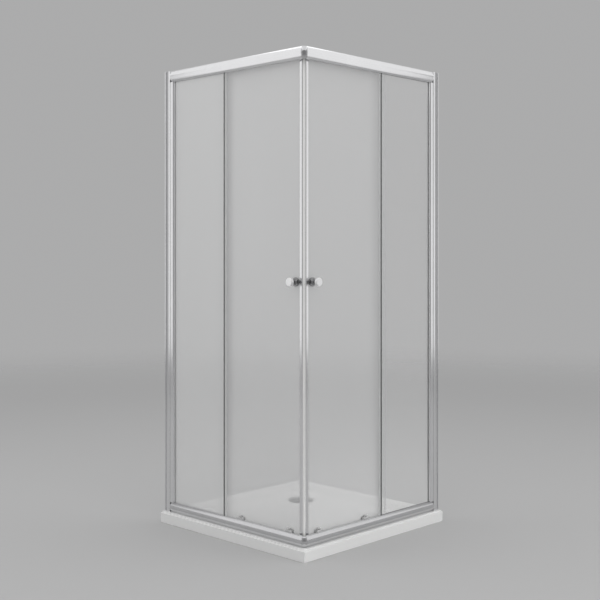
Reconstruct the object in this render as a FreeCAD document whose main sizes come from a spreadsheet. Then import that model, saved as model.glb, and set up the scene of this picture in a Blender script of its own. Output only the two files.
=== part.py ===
import FreeCAD, Part
import math
import os
import re
import Sketcher

# Square corner-entry shower cabin on a low tray.
# Plan places are measured from the tray's entry corner: "along" runs beside one open side towards
# the wall, "in" runs inwards from the tray's outer face. The right side lies along X, and the left
# side is its mirror image in the diagonal. The finished part is centred on the tray, with Z up.

SIZES = {
    # Tray
    "tray_side": 900.0,
    "ledge_height": 43.5,
    "platform_height": 48.0,
    "platform_inset": 9.0,
    "platform_corner_radius": 38.0,
    "tray_edge_round": 2.5,
    "platform_edge_round": 1.5,
    "basin_inset": 68.0,
    "basin_corner_radius": 62.0,
    "basin_wall_run": 20.0,
    "basin_wall_drop": 21.0,
    "floor_fall": 5.0,
    "apron_wall": 9.0,
    "rib_thickness": 8.0,
    "rib_height": 12.0,
    "cell_count": 7,
    # Drain
    "drain_from_wall": 223.0,
    "recess_radius": 70.0,
    "recess_depth": 3.5,
    "recess_skin": 4.5,
    "well_radius": 66.0,
    "waste_bore_radius": 36.0,
    "waste_throat_radius": 39.0,
    "waste_body_radius": 42.0,
    "waste_hole_gap": 0.5,
    "flange_radius": 55.0,
    "flange_thickness": 2.0,
    "waste_tail_height": 1.5,
    "waste_step_height": 11.0,
    "drain_gasket_thickness": 2.0,
    "drain_gasket_radius": 54.0,
    "drain_nut_radius": 57.0,
    "drain_nut_height": 7.0,
    "cover_radius": 60.0,
    "cover_rise": 4.5,
    "cover_shell": 2.0,
    "cover_ring_depth": 6.0,
    "cover_seat_gap": 0.3,
    # Enclosure heights
    "cabin_top": 2030.0,
    "bottom_rail_height": 43.0,
    "top_rail_height": 49.0,
    # Rail section
    "rail_foot_in": 27.6,
    "rail_bulge": 7.1,
    "rail_wall": 1.8,
    "rail_inner_wall": 2.0,
    "glazing_depth": 12.0,
    "glazing_gap": 0.3,
    "track_height": 28.5,
    "track_lip_height": 3.5,
    "track_lip_thickness": 1.6,
    "track_plate_thickness": 2.0,
    "track_reach": 6.3,
    "track_trim": 20.0,
    # Wall and frame profiles
    "wall_profile_length": 38.0,
    "wall_profile_depth": 25.5,
    "profile_wall": 1.5,
    "wall_foot_length": 9.0,
    "wall_foot_step": 2.0,
    "profile_fit_gap": 0.3,
    "frame_profile_reach": 22.0,
    "frame_profile_overlap": 22.0,
    "frame_channel_depth": 14.0,
    "gasket_thickness": 1.7,
    "gasket_gap": 0.1,
    "wall_hole_radius": 3.0,
    "wall_hole_end_inset": 91.0,
    "profile_screw_end_inset": 251.0,
    # Corner connectors
    "corner_radius": 20.0,
    "tongue_length": 26.0,
    "tongue_gap": 0.3,
    "tongue_screw_height": 14.0,
    "joint_gap": 0.2,
    # Screws
    "screw_radius": 1.9,
    "screw_length": 8.0,
    "screw_head_radius": 3.8,
    "screw_head_height": 2.2,
    "screw_hole_gap": 0.2,
    # Glass
    "fixed_glass_in": 32.0,
    "glass_thickness": 6.0,
    "glass_overlap": 35.0,
    "door_glass_in": 53.5,
    "door_glass_start": 70.3,
    "door_glass_width": 464.7,
    "door_bottom_gap": 8.0,
    "door_top_gap": 4.0,
    # Seals
    "seal_leg": 1.3,
    "edge_seal_grip": 11.0,
    "rear_seal_grip": 22.0,
    "seal_gap": 0.15,
    "fin_reach": 10.5,
    "fin_clearance": 0.6,
    "seal_end_gap": 2.0,
    "filler_gap": 0.2,
    # Door stile and magnet strip
    "stile_length": 18.0,
    "stile_depth": 11.0,
    "magnet_gap": 0.4,
    "magnet_face": 7.5,
    "stile_web": 1.7,
    # Rollers
    "front_roller_inset": 61.7,
    "back_roller_inset": 115.0,
    "wheel_radius": 10.5,
    "groove_depth": 2.0,
    "groove_side_gap": 0.6,
    "wheel_width": 6.0,
    "wheel_seat_gap": 0.3,
    "axle_radius": 2.5,
    "axle_fit_gap": 0.08,
    "axle_head_radius": 3.8,
    "axle_head_height": 0.8,
    "wheel_side_gap": 0.4,
    "hanger_width": 28.0,
    "hanger_drop": 26.0,
    "hanger_rise": 12.0,
    "hanger_corner": 5.0,
    "pin_nut_radius": 8.5,
    "pin_nut_height": 6.0,
    "pin_hole_gap": 0.6,
    # Guide blocks and their releases
    "block_width": 28.0,
    "block_height": 14.0,
    "block_track_gap": 2.0,
    "block_front_gap": 3.5,
    "block_round": 3.0,
    "block_peg_radius": 2.6,
    "block_peg_offset": 9.5,
    "block_peg_gap": 0.4,
    "block_plate_thickness": 4.0,
    "stem_width": 8.0,
    "stem_gap": 0.35,
    "release_travel": 5.0,
    "button_width": 18.0,
    "button_height": 3.0,
    "button_side_gap": 0.8,
    "button_stop_gap": 0.3,
    "spring_radius": 2.2,
    "spring_wall": 0.6,
    "spring_bore_gap": 0.4,
    "spring_bore_depth": 9.0,
    # Door travel and its stops
    "travel_end_gap": 4.35,
    "buffer_length": 12.0,
    "buffer_height": 13.0,
    "buffer_gap": 0.3,
    "buffer_wall": 1.4,
    "buffer_stop_gap": 0.6,
    # Knobs
    "knob_from_glass_edge": 27.7,
    "knob_height": 1096.0,
    "knob_cap_radius": 17.5,
    "knob_cap_thickness": 13.0,
    "knob_base_radius": 18.5,
    "knob_base_thickness": 5.0,
    "knob_neck_radius": 8.5,
    "knob_projection": 42.0,
    "inner_knob_projection": 19.0,
    "knob_edge_round": 2.5,
    "knob_spigot_radius": 4.0,
    "knob_spigot_reach": 8.0,
    "knob_hole_gap": 1.0,
    "knob_washer_thickness": 1.2,
    "knob_washer_radius": 16.0,
}

DERIVED = {
    "half_side": "tray_side / 2",
    "basin_floor_height": "platform_height - basin_wall_drop",
    "basin_low_height": "basin_floor_height - floor_fall",
    "recess_height": "basin_low_height - recess_depth",
    "well_height": "recess_height - recess_skin",
    "drain_along": "tray_side - drain_from_wall",
    "cell_pitch": "(tray_side - 2 * apron_wall + rib_thickness) / cell_count",
    "bottom_rail_top": "platform_height + bottom_rail_height",
    "top_rail_low": "cabin_top - top_rail_height",
    "bulge_in": "rail_foot_in - rail_bulge",
    "bottom_rail_curve": "(rail_bulge ^ 2 + bottom_rail_height ^ 2 / 4) / (2 * rail_bulge)",
    "top_rail_curve": "(rail_bulge ^ 2 + top_rail_height ^ 2 / 4) / (2 * rail_bulge)",
    "cabin_middle": "(platform_height + cabin_top) / 2",
    "wall_hole_outer_spacing": "cabin_top - platform_height - 2 * wall_hole_end_inset",
    "wall_hole_inner_spacing": "wall_hole_outer_spacing / 3",
    "profile_screw_spacing": "(cabin_top - platform_height) / 2 - profile_screw_end_inset",
    "corner_screw_along": "corner_axis_in + tongue_length / 2",
    "channel_low_in": "fixed_glass_in - glazing_gap",
    "channel_high_in": "fixed_glass_in + glass_thickness + glazing_gap",
    "rail_inner_in": "channel_high_in + rail_inner_wall",
    "track_lip_in": "rail_inner_in + track_reach",
    "corner_axis_in": "bulge_in + corner_radius",
    "wall_profile_along": "tray_side - wall_profile_length",
    "rail_end_along": "wall_profile_along - joint_gap",
    "wall_profile_far_in": "bulge_in + wall_profile_depth",
    "frame_start_along": "wall_profile_along - frame_profile_reach",
    "frame_end_along": "wall_profile_along + frame_profile_overlap",
    "frame_low_in": "bulge_in + profile_wall + profile_fit_gap",
    "frame_high_in": "wall_profile_far_in - profile_wall - profile_fit_gap",
    "gasket_low_in": "fixed_glass_in - gasket_gap - gasket_thickness",
    "gasket_high_in": "fixed_glass_in + glass_thickness + gasket_gap + gasket_thickness",
    "frame_floor_along": "frame_start_along + frame_channel_depth",
    "fixed_glass_end": "frame_floor_along - gasket_thickness - 2 * gasket_gap",
    "fixed_glass_low": "bottom_rail_top - glazing_depth + glazing_gap",
    "fixed_glass_high": "top_rail_low + glazing_depth - glazing_gap",
    "door_glass_far_in": "door_glass_in + glass_thickness",
    "door_glass_end": "door_glass_start + door_glass_width",
    "fixed_glass_edge": "door_glass_end - glass_overlap",
    "rear_seal_end": "door_glass_end + seal_gap + fin_reach",
    "door_travel": "frame_start_along - rear_seal_end - travel_end_gap",
    "roller_front_along": "door_glass_start + front_roller_inset",
    "roller_back_along": "door_glass_end - back_roller_inset",
    "door_glass_low": "platform_height + door_bottom_gap",
    "door_glass_high": "cabin_top - door_top_gap",
    "stile_low_in": "door_glass_in + glass_thickness / 2 - stile_depth / 2",
    "stile_high_in": "stile_low_in + stile_depth",
    "mitre_step": "magnet_gap * sqrt(2) / 2",
    "stile_start_along": "stile_low_in + magnet_face + mitre_step",
    "stile_end_along": "stile_start_along + stile_length",
    "lip_centre_in": "track_lip_in - track_lip_thickness / 2",
    "wheel_low_in": "lip_centre_in - wheel_width / 2",
    "wheel_high_in": "lip_centre_in + wheel_width / 2",
    "groove_radius": "wheel_radius - groove_depth",
    "groove_half_width": "track_lip_thickness / 2 + groove_side_gap",
    "hanger_low_in": "wheel_high_in + wheel_side_gap",
    "axle_end_in": "wheel_low_in - wheel_side_gap - axle_head_height",
    "guide_axis_height": "platform_height + track_height - groove_radius - wheel_seat_gap",
    "carry_axis_height": "cabin_top - track_height + groove_radius + wheel_seat_gap",
    "pin_hole_radius": "axle_radius + pin_hole_gap",
    "block_low_in": "fixed_glass_in + glass_thickness + block_front_gap",
    "track_plate_high": "track_height + track_lip_height + track_plate_thickness",
    "block_low": "platform_height + track_plate_high + block_track_gap",
    "block_high": "block_low + block_height",
    "block_peg_height": "block_low + block_height / 2",
    "button_low": "block_high + release_travel + button_stop_gap",
    "stem_low_in": "hanger_low_in",
    "stem_high_in": "door_glass_in - stem_gap",
    "spring_bore_radius": "spring_radius + spring_bore_gap",
    "spring_in": "(block_low_in + stem_low_in - stem_gap) / 2",
    "spring_low": "block_high - spring_bore_depth",
    "knob_along": "door_glass_start + knob_from_glass_edge",
    "knob_hole_radius": "knob_spigot_radius + knob_hole_gap",
}

doc = FreeCAD.newDocument("ShowerCabin")
sheet = doc.addObject("Spreadsheet::Sheet", "Sizes")
NODES = []
POCKETS = []
ALONG = "YZ_Plane"
ACROSS = "XZ_Plane"
LEVEL = "XY_Plane"
# How far in, as a share of its radius, the middle of a quarter arc lies from its square corner
ARC_MIDDLE_SHARE = "(1 - sqrt(2) / 2)"


def fill_sheet():
    """Write the driving sizes and the sizes worked out from them."""
    row = 1
    for name, value in SIZES.items():
        sheet.set(f"A{row}", name)
        sheet.set(f"B{row}", str(value))
        sheet.setAlias(f"B{row}", name)
        row += 1
    for name, text in DERIVED.items():
        sheet.set(f"A{row}", name)
        sheet.set(f"B{row}", "=" + text)
        sheet.setAlias(f"B{row}", name)
        row += 1
    doc.recompute()


def linked(text):
    """Turn the sheet names in a formula into references to the sheet."""
    return re.sub(r"\b[a-z]+(?:_[a-z]+)+\b", lambda word: "Sizes." + word.group(), text)


def value(owner, text):
    """The present value of a formula."""
    return float(owner.evalExpression(linked(text)))


def place(thing, along, inward, height):
    """Place an object by its distance along a side, its distance in and its height."""
    thing.setExpression("Placement.Base.x", linked(f"{along} - half_side"))
    thing.setExpression("Placement.Base.y", linked(f"{inward} - half_side"))
    thing.setExpression("Placement.Base.z", linked(height))


def new_body(name, along="0", inward="0", height="0"):
    """A body whose own origin is placed in the cabin's plan."""
    body = doc.addObject("PartDesign::Body", name)
    place(body, along, inward, height)
    return body


def sketch_on(body, plane, offset):
    """A sketch on one of the body's origin planes, moved along that plane's normal."""
    sketch = body.newObject("Sketcher::SketchObject", body.Name + "_sketch")
    support = [item for item in body.Origin.OriginFeatures if item.Role == plane][0]
    sketch.AttachmentSupport = [(support, "")]
    sketch.MapMode = "FlatFace"
    sketch.setExpression("AttachmentOffset.Base.z", linked(offset))
    return sketch


def pin_point(sketch, geometry, position, point):
    """Hold a sketch point at two formulas."""
    for kind, text in zip(("DistanceX", "DistanceY"), point):
        rule = Sketcher.Constraint(kind, -1, 1, geometry, position, value(sketch, text))
        index = sketch.addConstraint(rule)
        sketch.setExpression(f"Constraints[{index}]", linked(text))


def arc_through(start, middle, end):
    """An anticlockwise arc through three points, and its end numbers in drawing order."""
    circle = Part.Circle(start, middle, end)
    centre = circle.Center
    anticlockwise = (middle - start).cross(end - middle).z > 0
    first, last = (start, end) if anticlockwise else (end, start)
    angles = [math.atan2(point.y - centre.y, point.x - centre.x) for point in (first, last)]
    if angles[1] < angles[0]:
        angles[1] += 2 * math.pi
    ring = Part.Circle(centre, FreeCAD.Vector(0, 0, 1), circle.Radius)
    return Part.ArcOfCircle(ring, *angles), (1, 2) if anticlockwise else (2, 1)


def draw_loop(sketch, points):
    """Draw a closed outline. A point with a third entry is the middle of an arc."""
    spots = [FreeCAD.Vector(*[value(sketch, text) for text in point[:2]], 0) for point in points]
    corners = [index for index, point in enumerate(points) if len(point) == 2]
    edges = []
    for number, index in enumerate(corners):
        follower = (index + 1) % len(points)
        target = corners[(number + 1) % len(corners)]
        if len(points[follower]) == 3:
            arc, ends = arc_through(spots[index], spots[follower], spots[target])
            edge = sketch.addGeometry(arc)
            through = sketch.addGeometry(Part.Point(spots[follower]), True)
            pin_point(sketch, through, 1, points[follower][:2])
            sketch.addConstraint(Sketcher.Constraint("PointOnObject", through, 1, edge))
        else:
            edge = sketch.addGeometry(Part.LineSegment(spots[index], spots[target]))
            ends = (1, 2)
        edges.append((edge, ends))
    for number, (edge, ends) in enumerate(edges):
        next_edge, next_ends = edges[(number + 1) % len(edges)]
        sketch.addConstraint(Sketcher.Constraint("Coincident", edge, ends[1], next_edge, next_ends[0]))
        pin_point(sketch, edge, ends[0], points[corners[number]])


def draw_circle(sketch, centre, radius):
    """Draw a circle held at its centre and by its radius."""
    middle = FreeCAD.Vector(*[value(sketch, text) for text in centre], 0)
    size = value(sketch, radius)
    ring = sketch.addGeometry(Part.Circle(middle, FreeCAD.Vector(0, 0, 1), size))
    pin_point(sketch, ring, 3, centre)
    index = sketch.addConstraint(Sketcher.Constraint("Radius", ring, size))
    sketch.setExpression(f"Constraints[{index}]", linked(radius))


def pad(body, plane, loops, start, length, circles=(), backwards=False):
    """Extrude closed outlines, and circles, from a start along the plane's normal."""
    sketch = sketch_on(body, plane, start)
    for loop in loops:
        draw_loop(sketch, loop)
    for centre, radius in circles:
        draw_circle(sketch, centre, radius)
    feature = body.newObject("PartDesign::Pad", body.Name + "_pad")
    feature.Profile = sketch
    feature.setExpression("Length", linked(length))
    feature.Reversed = backwards
    return feature


def pocket(body, plane, loops, start, depth, circles=(), backwards=False):
    """Cut closed outlines, and circles, against the plane's normal from a start."""
    sketch = sketch_on(body, plane, start)
    for loop in loops:
        draw_loop(sketch, loop)
    for centre, radius in circles:
        draw_circle(sketch, centre, radius)
    feature = body.newObject("PartDesign::Pocket", body.Name + "_pocket")
    feature.Profile = sketch
    feature.setExpression("Length", linked(depth))
    feature.Reversed = backwards
    POCKETS.append(feature)
    return feature


def turn(body, plane, points, angle=360.0):
    """Revolve an outline round its sketch's upright axis."""
    sketch = sketch_on(body, plane, "0")
    draw_loop(sketch, points)
    feature = body.newObject("PartDesign::Revolution", body.Name + "_turn")
    feature.Profile = sketch
    feature.ReferenceAxis = (sketch, ["V_Axis"])
    feature.Angle = angle
    return feature


def rectangle(low_x, low_y, high_x, high_y):
    """The four corners of a rectangle."""
    return [(low_x, low_y), (high_x, low_y), (high_x, high_y), (low_x, high_y)]


def rounded(low_x, low_y, high_x, high_y, radius):
    """A rectangle with round corners."""
    bite = f"({radius}) * {ARC_MIDDLE_SHARE}"
    return [
        (f"{low_x} + {radius}", f"{low_y}"), (f"{high_x} - {radius}", f"{low_y}"),
        (f"{high_x} - {bite}", f"{low_y} + {bite}", "arc"),
        (f"{high_x}", f"{low_y} + {radius}"), (f"{high_x}", f"{high_y} - {radius}"),
        (f"{high_x} - {bite}", f"{high_y} - {bite}", "arc"),
        (f"{high_x} - {radius}", f"{high_y}"), (f"{low_x} + {radius}", f"{high_y}"),
        (f"{low_x} + {bite}", f"{high_y} - {bite}", "arc"),
        (f"{low_x}", f"{high_y} - {radius}"), (f"{low_x}", f"{low_y} + {radius}"),
        (f"{low_x} + {bite}", f"{low_y} + {bite}", "arc"),
    ]


def round_edges(body, feature, test, radius):
    """Fillet the edges of a feature that pass a test."""
    doc.recompute()
    chosen = [f"Edge{number}" for number, edge in enumerate(feature.Shape.Edges, 1) if test(edge)]
    fillet = body.newObject("PartDesign::Fillet", body.Name + "_round")
    fillet.Base = (feature, chosen)
    fillet.setExpression("Radius", linked(radius))
    return fillet


def keep(thing, label):
    """Name a finished sub-part and list it for export."""
    thing.Label = label
    NODES.append(thing)
    return thing


def group(name, members):
    """Join separate solids of one kind in one sub-part."""
    compound = doc.addObject("Part::Compound", name)
    compound.Links = members
    return compound


def both_sides(thing, label):
    """Keep a right-hand piece and its mirror image on the left."""
    keep(thing, "right_" + label)
    twin = doc.addObject("Part::Mirroring", "left_" + label)
    twin.Source = thing
    twin.Normal = FreeCAD.Vector(1, -1, 0)
    keep(twin, "left_" + label)


def screw(name, along, inward, height):
    """A pan-head screw that points outwards, its head on the inner side."""
    body = new_body(name, along, inward, height)
    turn(body, LEVEL, [
        ("0", "-screw_length"), ("screw_radius", "-screw_length"), ("screw_radius", "0"),
        ("screw_head_radius", "0"), ("screw_head_radius * 0.85", "screw_head_height * 0.7", "arc"),
        ("screw_head_radius * 0.5", "screw_head_height"), ("0", "screw_head_height"),
    ])
    return body


def tray():
    """The tray: apron and ledge, raised platform, basin, drain recess and ribbed underside."""
    body = new_body("shower_tray")

    def on_top(edge, height):
        return abs(edge.BoundBox.ZMin - value(body, height)) < value(body, "joint_gap")

    def outer_side(edge, limit):
        edge_limit = value(body, limit) + value(body, "joint_gap")
        return edge.BoundBox.XMax < edge_limit or edge.BoundBox.YMax < edge_limit

    block = pad(body, LEVEL, [rectangle("0", "0", "tray_side", "tray_side")], "0", "ledge_height")
    round_edges(body, block, lambda edge: on_top(edge, "ledge_height") and outer_side(edge, "0"),
                "tray_edge_round")
    bite = f"platform_corner_radius * {ARC_MIDDLE_SHARE}"
    step = pad(body, LEVEL, [[
        ("platform_inset + platform_corner_radius", "platform_inset"),
        ("tray_side", "platform_inset"), ("tray_side", "tray_side"), ("platform_inset", "tray_side"),
        ("platform_inset", "platform_inset + platform_corner_radius"),
        (f"platform_inset + {bite}", f"platform_inset + {bite}", "arc"),
    ]], "ledge_height", "platform_height - ledge_height")
    round_edges(body, step, lambda edge: on_top(edge, "platform_height")
                and outer_side(edge, "platform_inset + platform_corner_radius"), "platform_edge_round")
    rim = sketch_on(body, LEVEL, "platform_height")
    draw_loop(rim, rounded("basin_inset", "basin_inset", "tray_side - basin_inset",
                           "tray_side - basin_inset", "basin_corner_radius"))
    inset = "(basin_inset + basin_wall_run)"
    floor_shape = rounded(inset, inset, f"tray_side - {inset}", f"tray_side - {inset}",
                          "(basin_corner_radius - basin_wall_run)")
    floor = sketch_on(body, LEVEL, "basin_floor_height")
    draw_loop(floor, floor_shape)
    wall = body.newObject("PartDesign::SubtractiveLoft", "basin_wall")
    wall.Profile = rim
    wall.Sections = [floor]
    wall.Ruled = True
    upper = sketch_on(body, LEVEL, "basin_floor_height")
    draw_loop(upper, floor_shape)
    lower = sketch_on(body, LEVEL, "basin_low_height")
    draw_loop(lower, rounded("drain_along - recess_radius", "drain_along - recess_radius",
                             "drain_along + recess_radius", "drain_along + recess_radius",
                             "(recess_radius * 0.8)"))
    fall = body.newObject("PartDesign::SubtractiveLoft", "basin_fall")
    fall.Profile = upper
    fall.Sections = [lower]
    fall.Ruled = True
    centre = ("drain_along", "drain_along")
    pocket(body, LEVEL, [], "basin_floor_height", "basin_floor_height - recess_height",
           [(centre, "recess_radius")])
    pocket(body, LEVEL, [], "recess_height", "recess_height",
           [(centre, "waste_body_radius + waste_hole_gap")])
    pocket(body, LEVEL, [], "0", "well_height", [(centre, "well_radius")], backwards=True)
    near, far = "apron_wall", "apron_wall + cell_pitch - rib_thickness"
    cell = pocket(body, LEVEL, [rectangle(near, near, far, far)], "0", "rib_height", backwards=True)
    spread = body.newObject("PartDesign::MultiTransform", "rib_cells")
    spread.Originals = [cell]
    rows = []
    for role in ("X_Axis", "Y_Axis"):
        axis = [item for item in body.Origin.OriginFeatures if item.Role == role][0]
        pattern = body.newObject("PartDesign::LinearPattern", "rib_row")
        pattern.Direction = (axis, [""])
        pattern.setExpression("Occurrences", linked("cell_count"))
        pattern.setExpression("Length", linked("cell_pitch * (cell_count - 1)"))
        rows.append(pattern)
    spread.Transformations = rows
    body.Tip = spread
    keep(body, "shower_tray")


def drain():
    """The waste under the basin and the cover that lifts off it."""
    flange = new_body("drain_flange", "drain_along", "drain_along")
    turn(flange, ACROSS, [
        ("waste_bore_radius", "waste_tail_height"), ("waste_body_radius", "waste_tail_height"),
        ("waste_body_radius", "recess_height"), ("flange_radius", "recess_height"),
        ("flange_radius - flange_thickness", "recess_height + flange_thickness"),
        ("waste_throat_radius", "recess_height + flange_thickness"),
        ("waste_throat_radius", "waste_step_height"), ("waste_bore_radius", "waste_step_height"),
    ])
    keep(flange, "drain_flange")
    gasket = new_body("drain_gasket", "drain_along", "drain_along")
    inner = "waste_body_radius + waste_hole_gap"
    turn(gasket, ACROSS, rectangle(inner, "well_height - drain_gasket_thickness",
                                   "drain_gasket_radius", "well_height"))
    keep(gasket, "drain_gasket")
    nut = new_body("drain_nut", "drain_along", "drain_along")
    nut_top = "well_height - drain_gasket_thickness"
    turn(nut, ACROSS, rectangle(inner, f"{nut_top} - drain_nut_height", "drain_nut_radius", nut_top))
    notch = pocket(nut, LEVEL, [rectangle(
        "drain_nut_radius - drain_nut_height", "-drain_nut_height / 2",
        "drain_nut_radius + drain_nut_height", "drain_nut_height / 2")],
        nut_top, "drain_nut_height")
    notches = nut.newObject("PartDesign::PolarPattern", "nut_notches")
    notches.Originals = [notch]
    notches.Axis = (notch.Profile[0], ["N_Axis"])
    notches.Angle = 360.0
    notches.Occurrences = 8
    nut.Tip = notches
    keep(nut, "drain_nut")
    cover = new_body("drain_cover", "drain_along", "drain_along",
                     "recess_height + flange_thickness + cover_seat_gap")
    ring = "waste_throat_radius - 2 * cover_seat_gap"
    turn(cover, ACROSS, [
        ("0", "cover_rise"), ("0", "cover_rise + cover_shell"),
        ("cover_radius * 0.15", "cover_rise + cover_shell"),
        ("cover_radius * 0.6", "cover_rise * 0.72 + cover_shell", "arc"),
        ("cover_radius", "cover_shell * 0.4"), ("cover_radius", "0"),
        ("cover_radius - cover_shell", "0"), ("cover_radius * 0.8", "cover_rise * 0.2"),
        (ring, "cover_rise * 0.2"), (ring, "-cover_ring_depth"),
        (f"{ring} - cover_shell", "-cover_ring_depth"), (f"{ring} - cover_shell", "cover_rise * 0.6"),
    ])
    keep(cover, "drain_cover")


def face_at(height, curve, depth):
    """The rail's outer face at a height from its seat, moved in by a depth."""
    radius = f"{curve}_curve"
    offset = f"({curve}_height / 2 - ({height}))"
    return f"bulge_in + {radius} + {depth} - sqrt({radius} ^ 2 - {offset} ^ 2)"


def rail(name, seat, sign):
    """A rail: convex face over a chamber, glazing channel and roller track."""
    def level(text):
        return f"{seat} {sign} ({text})"

    full = f"{name}_height"
    body = new_body("right_" + name)
    outer = [
        ("rail_foot_in", level("0")), ("bulge_in", level(f"{full} / 2"), "arc"),
        ("rail_foot_in", level(full)), ("channel_low_in", level(full)),
        ("channel_low_in", level(f"{full} - glazing_depth")),
        ("channel_high_in", level(f"{full} - glazing_depth")),
        ("channel_high_in", level(full)), ("rail_inner_in", level(full)),
        ("rail_inner_in", level("track_plate_high")), ("track_lip_in", level("track_plate_high")),
        ("track_lip_in", level("track_height")),
        ("track_lip_in - track_lip_thickness", level("track_height")),
        ("track_lip_in - track_lip_thickness", level("track_height + track_lip_height")),
        ("rail_inner_in", level("track_height + track_lip_height")),
        ("rail_inner_in", level("0")),
    ]
    roof = f"{full} - glazing_depth - rail_wall"
    centre = f"({roof} + rail_wall) / 2"
    chamber = [
        (face_at("rail_wall", name, "rail_wall"), level("rail_wall")),
        (face_at(centre, name, "rail_wall"), level(centre), "arc"),
        (face_at(roof, name, "rail_wall"), level(roof)),
        ("rail_inner_in - rail_wall", level(roof)), ("rail_inner_in - rail_wall", level("rail_wall")),
    ]
    pad(body, ALONG, [outer, chamber], "corner_axis_in + joint_gap",
        "rail_end_along - corner_axis_in - joint_gap")
    low, high = "track_height - track_lip_height", "track_height + 3 * track_lip_height"
    pocket(body, ALONG, [rectangle(
        "rail_inner_in", level(low), "track_lip_in + track_reach", level(high),
    )], "corner_axis_in + track_trim", "track_trim")
    pocket(body, ACROSS, [], "-(rail_inner_in - 2 * rail_wall)", "3 * rail_wall",
           [(("corner_screw_along", level("tongue_screw_height")), "screw_radius + screw_hole_gap")])
    both_sides(body, name)


def corner(name, seat, sign):
    """A corner connector: a quarter-round nose with a tongue in each rail."""
    def level(text):
        return f"{seat} {sign} ({text})"

    full = f"{name}_rail_height"
    body = new_body(name + "_corner", "corner_axis_in", "corner_axis_in")
    foot = "-(corner_axis_in - rail_foot_in)"
    points = [
        ("0", level("0")), (foot, level("0")), ("-corner_radius", level(f"{full} / 2"), "arc"),
        (foot, level(full)), ("0", level(full)),
    ]
    turn(body, ACROSS, points, 90.0)
    low, high = "rail_wall + tongue_gap", f"{full} - glazing_depth - rail_wall - tongue_gap"
    near = "rail_foot_in + rail_wall - corner_axis_in"
    far = "rail_inner_in - rail_wall - tongue_gap - corner_axis_in"
    tongue = rectangle(near, level(low), far, level(high))
    pad(body, ALONG, [tongue], "0", "tongue_length")
    pad(body, ACROSS, [tongue], "0", "tongue_length", backwards=True)
    screw_at = ("tongue_length / 2", level("tongue_screw_height"))
    hole = "screw_radius + screw_hole_gap / 2"
    pocket(body, ACROSS, [], f"-({near})", f"{far} - ({near})", [(screw_at, hole)])
    pocket(body, ALONG, [], far, f"{far} - ({near})", [(screw_at, hole)])
    keep(body, name + "_corner")


def corner_screws():
    """The screws that hold the four rail ends on the connectors' tongues."""
    members = []
    for number, height in enumerate((
        "platform_height + tongue_screw_height", "cabin_top - tongue_screw_height",
    ), 1):
        fixing = screw(f"corner_screw_{number}", "corner_screw_along", "rail_inner_in", height)
        twin = doc.addObject("Part::Mirroring", f"corner_screw_twin_{number}")
        twin.Source = fixing
        twin.Normal = FreeCAD.Vector(1, -1, 0)
        members += [fixing, twin]
    keep(group("corner_screws", members), "corner_screws")


def screw_heights():
    """The heights of the screws that lock the frame profile."""
    return [f"cabin_middle + ({step}) * profile_screw_spacing" for step in (-1, 0, 1)]


def wall_and_frame_profiles():
    """The channel on the wall and the profile that slides into it."""
    channel = new_body("right_wall_profile")
    near, far = "bulge_in", "wall_profile_far_in"
    foot, step = "tray_side - wall_foot_length", f"{near} + wall_foot_step"
    pad(channel, LEVEL, [[
        ("wall_profile_along", near), (foot, near), (foot, step), ("tray_side", step),
        ("tray_side", far), ("wall_profile_along", far), ("wall_profile_along", f"{far} - profile_wall"),
        ("tray_side - profile_wall", f"{far} - profile_wall"),
        ("tray_side - profile_wall", f"{step} + profile_wall"),
        (f"{foot} - profile_wall", f"{step} + profile_wall"),
        (f"{foot} - profile_wall", f"{near} + profile_wall"),
        ("wall_profile_along", f"{near} + profile_wall"),
    ]], "platform_height", "cabin_top - platform_height")
    fixings = [
        ((f"({near} + {far}) / 2", f"cabin_middle + ({share}) * {spacing}"), "wall_hole_radius")
        for spacing in ("wall_hole_outer_spacing", "wall_hole_inner_spacing") for share in (-0.5, 0.5)
    ]
    pocket(channel, ALONG, [], "tray_side", "2 * profile_wall", fixings)
    screw_along = "wall_profile_along + frame_profile_overlap / 2"
    holes = [((screw_along, height), "screw_radius + screw_hole_gap") for height in screw_heights()]
    pocket(channel, ACROSS, [], f"-({far} - 2 * profile_wall)", "3 * profile_wall", holes)
    both_sides(channel, "wall_profile")
    frame = new_body("right_frame_profile")
    low, high, wall = "frame_low_in", "frame_high_in", "profile_wall"
    mouth, floor, end = "frame_start_along", "frame_floor_along", "frame_end_along"
    pad(frame, LEVEL, [[
        (mouth, low), (end, low), (end, high), (mouth, high), (mouth, "gasket_high_in"),
        (floor, "gasket_high_in"), (floor, "gasket_low_in"), (mouth, "gasket_low_in"),
    ], [
        (f"{mouth} + {wall}", f"{low} + {wall}"), (f"{end} - {wall}", f"{low} + {wall}"),
        (f"{end} - {wall}", f"{high} - {wall}"), (f"{floor} + {wall}", f"{high} - {wall}"),
        (f"{floor} + {wall}", f"gasket_low_in - {wall}"), (f"{mouth} + {wall}", f"gasket_low_in - {wall}"),
    ]], "bottom_rail_top", "top_rail_low - bottom_rail_top")
    pocket(frame, ACROSS, [], f"-({high} - 1.5 * {wall})", f"3 * {wall}", holes)
    both_sides(frame, "frame_profile")
    screws = [screw(f"right_profile_screw_{number}", screw_along, far, height)
              for number, height in enumerate(screw_heights(), 1)]
    both_sides(group("right_profile_screws", screws), "profile_screws")


def upright(name, loops, low, high):
    """A strip or profile that stands between two heights."""
    body = new_body("right_" + name)
    pad(body, LEVEL, loops, low, f"{high} - ({low})")
    return body


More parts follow.
